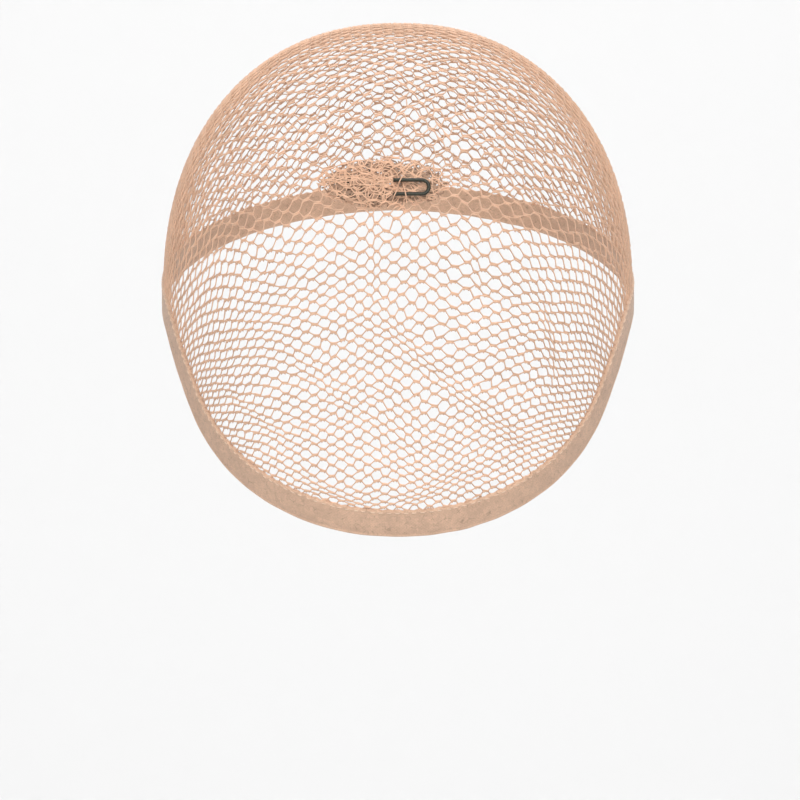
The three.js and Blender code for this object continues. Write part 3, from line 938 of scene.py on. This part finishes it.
def thread_object(name, threads, **changes):
    """The plain object that the thread tree makes of threads, with no modifier left on it."""
    net = settings().net
    inputs = {"Thread": net.thread, "Sides": net.sides, "Loop Length": net.tooth, **changes}
    tree = thread_tree()
    lines = threads.mesh(name + "_lines")
    obj = add_object(name, lines)
    modifier = obj.modifiers.new(tree.name, "NODES")
    modifier.node_group = tree
    for socket in tree.interface.items_tree:
        if socket.in_out == "INPUT" and socket.name in inputs:
            modifier[socket.identifier] = inputs[socket.name]
    evaluated = obj.evaluated_get(bpy.context.evaluated_depsgraph_get())
    plain = bpy.data.meshes.new_from_object(evaluated)
    obj.modifiers.clear()
    obj.data = plain
    bpy.data.meshes.remove(lines)
    plain.name = name
    return obj


def finish_piece(obj, slot, *nodes):
    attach(obj, "root")
    if nodes:
        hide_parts(*nodes)


class WIGCAP_OT_net(Operator):
    """Knit the net over the form, in bands of courses from front to back"""

    bl_idname = "wigcap.net"
    bl_label = "Knit Net"

    def execute(self, context):
        size = settings()
        form, rim = form_and_rim()
        material = thread_material("net_thread", size.colours.thread, size.colours.thread_deep, 0.35, 0.66)
        for name, threads in zip(NET_PIECES, net_threads(form, rim, size.net)):
            net = thread_object(name, threads, Material=material)
            finish_piece(net, "net_thread", "net_cap")
        return {"FINISHED"}


class WIGCAP_OT_band(Operator):
    """Make the elastic rim band round the lower edge"""

    bl_idname = "wigcap.band"
    bl_label = "Make Rim Band"

    rows = 26
    corner = 0.0005
    groove_width = 0.0004
    wave_pitch = 0.0035
    inner_gap = 0.00002

    def execute(self, context):
        size = settings()
        form, rim = form_and_rim()
        band = size.band
        rng = np.random.default_rng(SEED + 1)
        share = np.arange(band.stations) / band.stations
        even = np.linspace(0, 1, self.rows)
        up = band.width * ((1 - np.cos(math.pi * even)) / 2 + even) / 2
        waves = sum(
            np.sin(2 * math.pi * (turns * share + rng.random())) * rng.uniform(0.4, 1)
            for turns in rng.integers(9, 70, 8)
        ) / 3
        cells = np.cos(2 * math.pi * share * round(rim.length / self.wave_pitch))
        ribs = band.rib_depth * np.cos(2 * math.pi * up / band.rib_pitch)
        groove = band.fold_depth * np.exp(-(((up - band.fold) / self.groove_width) ** 2))
        edge = np.minimum(up, band.width - up)
        short = np.clip(self.corner - edge, 0, None)
        rounding = self.corner - np.sqrt(self.corner**2 - short**2)
        outer = band.thickness - ribs - groove - rounding
        inner = self.inner_gap + rounding * 0.6
        sections = []
        for row in range(self.rows):
            place = rim.place(share, self.height(band, up[row], waves, cells))
            puff = band.wave * 0.5 * waves * np.sin(math.pi * up[row] / band.width)
            sections.append(form.lift(place, outer[row] + 0.3 * puff))
        for row in reversed(range(self.rows)):
            place = rim.place(share, self.height(band, up[row], waves, cells))
            sections.append(form.lift(place, inner[row]))
        points = np.stack(sections, axis=1)
        obj = ring_object("elastic_rim", points, np.concatenate([up, up[::-1]]), rim.length)
        obj.data.materials.append(band_material(size.colours))
        finish_piece(obj, "elastic_band", "rim_band")
        stitches = self.stitches(form, rim, band)
        return {"FINISHED"}

    def stitches(self, form, rim, band):
        """Short slanted stitches that join the band to the net."""
        rng = np.random.default_rng(SEED + 4)
        threads = Threads()
        share = np.linspace(-0.5, 0.5, 7)
        for number in range(band.stitches):
            middle = (number + rng.normal(0, 0.08)) / band.stitches
            long = band.stitch * rng.uniform(0.85, 1.15)
            slant = rng.normal(0, 0.00009)
            along = middle + share * long / rim.length
            place = rim.place(along, band.width - band.seam + 2 * share * slant)
            bulge = band.thickness + 0.00010 * (1 - (2 * share) ** 2) - 0.0002 * np.abs(2 * share) ** 4
            threads.add_run(form.lift(place, bulge), 1 - 0.25 * np.abs(2 * share) ** 3, rng.uniform(0.1, 0.6))
        thin = 0.65 * settings().net.thread
        net_thread = bpy.data.materials["net_thread"]
        obj = thread_object("edge_stitches", threads, Thread=thin, Sides=6, Material=net_thread)
        finish_piece(obj, "elastic_band")
        return obj

    @staticmethod
    def height(band, up, waves, cells):
        """A row's height, with a little unevenness at both edges."""
        share = up / band.width
        return up + band.wave * (cells * share**4 + waves * 0.5 * (1 - share) ** 2)


def ring_object(name, points, across, length):
    """A closed ring from sections of points, with a UV map of metres along and across it."""
    stations, count, _ = points.shape
    index = np.arange(stations * count).reshape(stations, count)
    ahead = np.roll(index, -1, axis=0)
    quads = np.stack([index, ahead, np.roll(ahead, -1, axis=1), np.roll(index, -1, axis=1)], axis=2)
    mesh = bpy.data.meshes.new(name)
    mesh.from_pydata(points.reshape(-1, 3).tolist(), [], quads.reshape(-1, 4).tolist())
    along = np.arange(stations + 1) / stations * length
    across = np.append(across, across[0])
    corner_along = np.stack([along[:-1], along[1:], along[1:], along[:-1]], axis=1)
    corner_across = np.stack([across[:-1], across[:-1], across[1:], across[1:]], axis=1)
    uv = np.empty((stations, count, 4, 2))
    uv[..., 0] = corner_along[:, None, :]
    uv[..., 1] = corner_across[None, :, :]
    mesh.uv_layers.new(name="band").data.foreach_set("uv", uv.ravel())
    mesh.shade_smooth()
    mesh.update()
    return add_object(name, mesh)


class WIGCAP_OT_tuck(Operator):
    """Lay the extra layers of net and the drawn threads of the gathered tuck"""

    bl_idname = "wigcap.tuck"
    bl_label = "Gather Tuck"

    loose_height = 0.0044
    row_spacing = 0.0046
    squash = 0.85
    top_level = 0.88
    top_rise = 0.0016

    def execute(self, context):
        size = settings()
        form, _ = form_and_rim()
        rng = np.random.default_rng(SEED + 2)
        threads = Threads()
        for layer in TUCK_LAYERS:
            self.add_layer(form, rng, threads, layer)
        self.add_gathers(form, rng, threads)
        self.add_arcs(form, rng, threads)
        self.add_hooks(form, threads)
        # Down to 0.40 of the colour at tint 0: the painted shade of the tuck's lower layers.
        material = thread_material("tuck_thread", size.colours.tuck, size.colours.thread_deep, 0.4, 0.40)
        obj = thread_object("gathered_net", threads, Material=material)
        finish_piece(obj, "tuck_thread", "gathered_tuck")
        return {"FINISHED"}

    def lay(self, form, along, across, level):
        """Points at shares of the tuck's half length and half height, at a level through its thickness."""
        size = settings()
        tuck = size.tuck
        right, up = tuck.right + along * tuck.half_length, across * tuck.half_height
        reach = np.sqrt(np.clip(1 - along**2, 0.02, 1))
        thick = tuck_thickness(np.clip(along, -1, 1), np.clip(across / reach, -1, 1))
        height = size.net.wall / 2 + level * np.maximum(thick - size.net.thread / 2, 0)
        apart = (size.pin.wire + size.net.thread) / 2
        if level < 0.5:
            height = np.minimum(height, pin_height(right) - apart)
        else:
            cover = pin_height(right) + apart + self.top_rise * (level - self.top_level)
            height = np.maximum(height, cover * near_legs(right, up))
        return form.lift(patch(form, right, up), height)

    def add_layer(self, form, rng, threads, layer):
        """A turned piece of loose net, cut to the tuck's uneven outline."""
        size = settings()
        tuck = size.tuck
        width, height = size.net.cell_width * layer["size"], self.loose_height * layer["size"]
        columns = int(tuck.half_length / width) + 3
        rows = int(2 * tuck.half_length / (self.row_spacing * layer["size"])) + 2
        knitted, _ = knit(rng, columns, (-rows, rows), size.net)
        turn = math.radians(layer["turn"])
        state = rng.integers(1 << 30)
        phase = rng.uniform(0, 2 * math.pi, 2)
        for thread in knitted:
            waves = np.random.default_rng(state)
            column, course = thread["column"], thread["course"]
            x = column + layer["shift"] + drift(waves, column, course, 0.75, 2.5, 9)
            y = -course - drift(waves, column, course, 0.60, 2.5, 9)
            x, y = x * width, y * height
            right = x * math.cos(turn) - y * math.sin(turn)
            up = (x * math.sin(turn) + y * math.cos(turn)) * self.squash
            along, across = right / tuck.half_length, up / tuck.half_height
            ragged = 1 + 0.10 * np.sin(5 * np.arctan2(across, along) + phase[0])
            ragged = ragged + 0.05 * np.sin(9 * along + phase[1])
            outline = ragged * layer["reach"] * np.sqrt(np.clip(1 - (along / layer["reach"]) ** 2, 0, 1))
            inside = np.abs(across) < outline
            points = self.lay(form, along, across, layer["level"])
            for first, last in kept_runs(inside, 4):
                # The layer's tint: painted shade for the layers that lie under the top two.
                threads.add_run(points[first:last], 0.80 * thread["girth"][first:last], layer["tint"])

    def add_gathers(self, form, rng, threads):
        """Single threads drawn out along the tuck, that cross each other at low angles."""
        size = settings()
        for _ in range(size.tuck.gathers):
            ends = np.sort(rng.uniform(-0.98, 0.98, 2))
            if ends[1] - ends[0] < 0.5:
                ends = np.array([-0.9, 0.3]) + rng.uniform(-0.08, 0.3)
            along = np.linspace(ends[0], min(ends[1], 0.98), 40)
            swing = rng.uniform(-0.85, 0.85, 3)
            share = np.linspace(0, 1, 40)
            across = swing[0] * (1 - share) ** 2 + 2 * swing[1] * share * (1 - share) + swing[2] * share**2
            across = across + 0.05 * np.sin(share * rng.uniform(8, 20))
            across *= np.sqrt(1 - along**2)
            points = self.lay(form, along, across, rng.uniform(0.88, 1.08))
            threads.add_run(points, rng.uniform(0.70, 0.90), rng.uniform(0.6, 1))

    def add_arcs(self, form, rng, threads):
        """Loose threads that curl on top of the tuck."""
        tuck = settings().tuck
        for _ in range(tuck.arcs):
            middle_along, middle_across = rng.uniform(-0.75, 0.62), rng.uniform(-0.7, 0.7)
            radius = rng.uniform(0.0014, 0.0042)
            angle = rng.uniform(0, 2 * math.pi) + np.linspace(0, rng.uniform(1.6, 3.6), 26)
            swell = radius * (1 + 0.25 * np.sin(2 * angle + rng.uniform(0, 6)))
            along = middle_along + 1.25 * swell * np.cos(angle) / tuck.half_length
            across = middle_across + swell * np.sin(angle) / tuck.half_height
            inside = np.abs(across) < 0.98 * np.sqrt(np.clip(1 - along**2, 0, 1))
            points = self.lay(form, along, across, rng.uniform(1.04, 1.12))
            for first, last in kept_runs(inside, 8):
                threads.add_run(points[first:last], rng.uniform(0.70, 0.85), rng.uniform(0.8, 1))

    def add_hooks(self, form, threads):
        """Strands that come up from the net, cross a leg of the pin and go down again."""
        size = settings()
        pin, tuck = size.pin, size.tuck
        for hook in HOOKS:
            share = np.linspace(0, 1, 24)
            up = hook["low"] + (hook["high"] - hook["low"]) * share
            right = hook["right"] + hook["lean"] * (share - 0.5) * 2
            leg = pin.centre_up + pin.gauge / 2 * np.sign(up.mean() - pin.centre_up)
            fade = np.exp(-((np.maximum(np.abs(up - leg) - pin.wire / 2, 0) / 0.0008) ** 2))
            low = size.net.wall + tuck.flat
            over = pin_height(right) + (pin.wire + size.net.thread) / 2
            points = form.lift(patch(form, right, up), low + (over - low) * fade)
            threads.add_run(points, 0.8, 1.0)


class WIGCAP_OT_pin(Operator):
    """Bend the wire hair pin that holds the tuck"""

    bl_idname = "wigcap.pin"
    bl_label = "Bend Hair Pin"

    def execute(self, context):
        size = settings()
        pin = size.pin
        form, _ = form_and_rim()
        radius = pin.gauge / 2
        leg_end = pin.bend_end - radius
        leg = np.linspace(pin.tip, leg_end, 90)
        angle = np.linspace(0, math.pi, 40)[1:-1]
        right = np.concatenate([leg, leg_end + radius * np.sin(angle), leg[::-1]])
        up = np.concatenate([np.full(len(leg), radius), radius * np.cos(angle), np.full(len(leg), -radius)])
        up = up + pin.centre_up
        points = form.lift(patch(form, right, up), pin_height(right))
        run = np.concatenate([[0], np.linalg.norm(np.diff(points, axis=0), axis=1).cumsum()])
        from_end = np.minimum(run, run[-1] - run)
        round_tip = np.sqrt(np.clip(1 - (1 - np.clip(from_end / (pin.wire / 2), 0, 1)) ** 2, 0.04, 1))
        threads = Threads()
        threads.add_run(points, round_tip, 0.5)
        enamel = wire_material(size.colours)
        obj = thread_object("wire_pin", threads, Thread=pin.wire, Sides=20, Material=enamel)
        finish_piece(obj, "pin_wire", "hair_pin")
        return {"FINISHED"}


class WIGCAP_OT_stage(Operator):
    """Set up the studio sweep, the soft lights and the camera"""

    bl_idname = "wigcap.stage"
    bl_label = "Set Stage"

    air_strength = 0.12

    def execute(self, context):
        size = settings()
        self.sweep(size)
        self.lights(context)
        self.camera(context, size.stage)
        context.scene.view_settings.view_transform = "Standard"
        return {"FINISHED"}

    def sweep(self, size):
        """A round floor that curves up into a wall all round."""
        stage = size.stage
        cove, wall = 1.2, 2.2
        steps, sectors = 12, 64
        profile = [(0.0, stage.floor)]
        for step in range(steps + 1):
            angle = math.pi / 2 * step / steps
            radius = stage.sweep - cove * (1 - math.sin(angle))
            profile.append((radius, stage.floor + cove * (1 - math.cos(angle))))
        profile.append((stage.sweep, stage.floor + wall))
        points = [(0, 0, stage.floor)]
        for radius, height in profile[1:]:
            for sector in range(sectors):
                angle = 2 * math.pi * sector / sectors
                points.append((radius * math.cos(angle), radius * math.sin(angle), height))
        faces = [(0, 1 + sector, 1 + (sector + 1) % sectors) for sector in range(sectors)]
        for ring in range(len(profile) - 2):
            first = 1 + ring * sectors
            for sector in range(sectors):
                low, high = first + sector, first + (sector + 1) % sectors
                faces.append((low, low + sectors, high + sectors, high))
        mesh = bpy.data.meshes.new("studio_sweep")
        mesh.from_pydata(points, [], faces)
        mesh.shade_smooth()
        obj = add_object("studio_sweep", mesh)
        obj.data.materials.append(paper_material(size.colours))

    def lights(self, context):
        for row in LIGHTS:
            light = bpy.data.lights.new(row["name"], "AREA")
            light.energy = row["power"]
            light.size = row["width"]
            obj = add_object(row["name"], light)
            obj.location = row["place"]
            towards = Vector(row["aim"]) - Vector(row["place"])
            obj.rotation_euler = towards.to_track_quat("-Z", "Y").to_euler()
            obj.visible_camera = False
        world = bpy.data.worlds.new("studio_air")
        world.use_nodes = True
        air = {"Color": (1, 1, 1, 1), "Strength": self.air_strength}
        set_inputs(world.node_tree.nodes["Background"], air)
        context.scene.world = world

    def camera(self, context, stage):
        lens = bpy.data.cameras.new("camera")
        lens.sensor_width = 36
        lens.lens = lens.sensor_width * stage.distance / stage.frame_width
        obj = add_object("camera", lens)
        obj.location = (stage.offset, -stage.distance, stage.aim)
        obj.rotation_euler = (math.pi / 2, 0, 0)
        context.scene.camera = obj


class WigCap(PropertyGroup):
    """All sizes and colours of the cap"""

    form: PointerProperty(type=CapForm, name="Form", description="The block under the cap")
    net: PointerProperty(type=NetSizes, name="Net", description="The knitted net")
    band: PointerProperty(type=BandSizes, name="Band", description="The rim band")
    tuck: PointerProperty(type=TuckSizes, name="Tuck", description="The gathered tuck")
    pin: PointerProperty(type=PinSizes, name="Pin", description="The hair pin")
    colours: PointerProperty(type=CapColours, name="Colours", description="Colours of every piece")
    stage: PointerProperty(type=StageSizes, name="Stage", description="Camera and sweep")


OPERATORS = (WIGCAP_OT_stage, WIGCAP_OT_net, WIGCAP_OT_band, WIGCAP_OT_tuck, WIGCAP_OT_pin)


class WIGCAP_PT_panel(Panel):
    """Buttons that build the stage and the pieces of the cap"""

    bl_idname = "WIGCAP_PT_panel"
    bl_label = "Wig Cap"
    bl_space_type = "VIEW_3D"
    bl_region_type = "UI"
    bl_category = "Wig Cap"

    def draw(self, context):
        for operator in OPERATORS:
            self.layout.operator(operator.bl_idname)


GROUPS = (CapForm, NetSizes, BandSizes, TuckSizes, PinSizes, CapColours, StageSizes, WigCap)


def register():
    for item in (*GROUPS, *OPERATORS, WIGCAP_PT_panel):
        bpy.utils.register_class(item)
    bpy.types.Scene.wig_cap = PointerProperty(type=WigCap, name="Wig Cap", description="Sizes of the wig cap")


def unregister():
    del bpy.types.Scene.wig_cap
    for item in reversed((*GROUPS, *OPERATORS, WIGCAP_PT_panel)):
        bpy.utils.unregister_class(item)


def main():
    register()
    bpy.ops.wigcap.stage()
    bpy.ops.wigcap.net()
    bpy.ops.wigcap.band()
    bpy.ops.wigcap.tuck()
    bpy.ops.wigcap.pin()


if __name__ == "__main__":
    main()
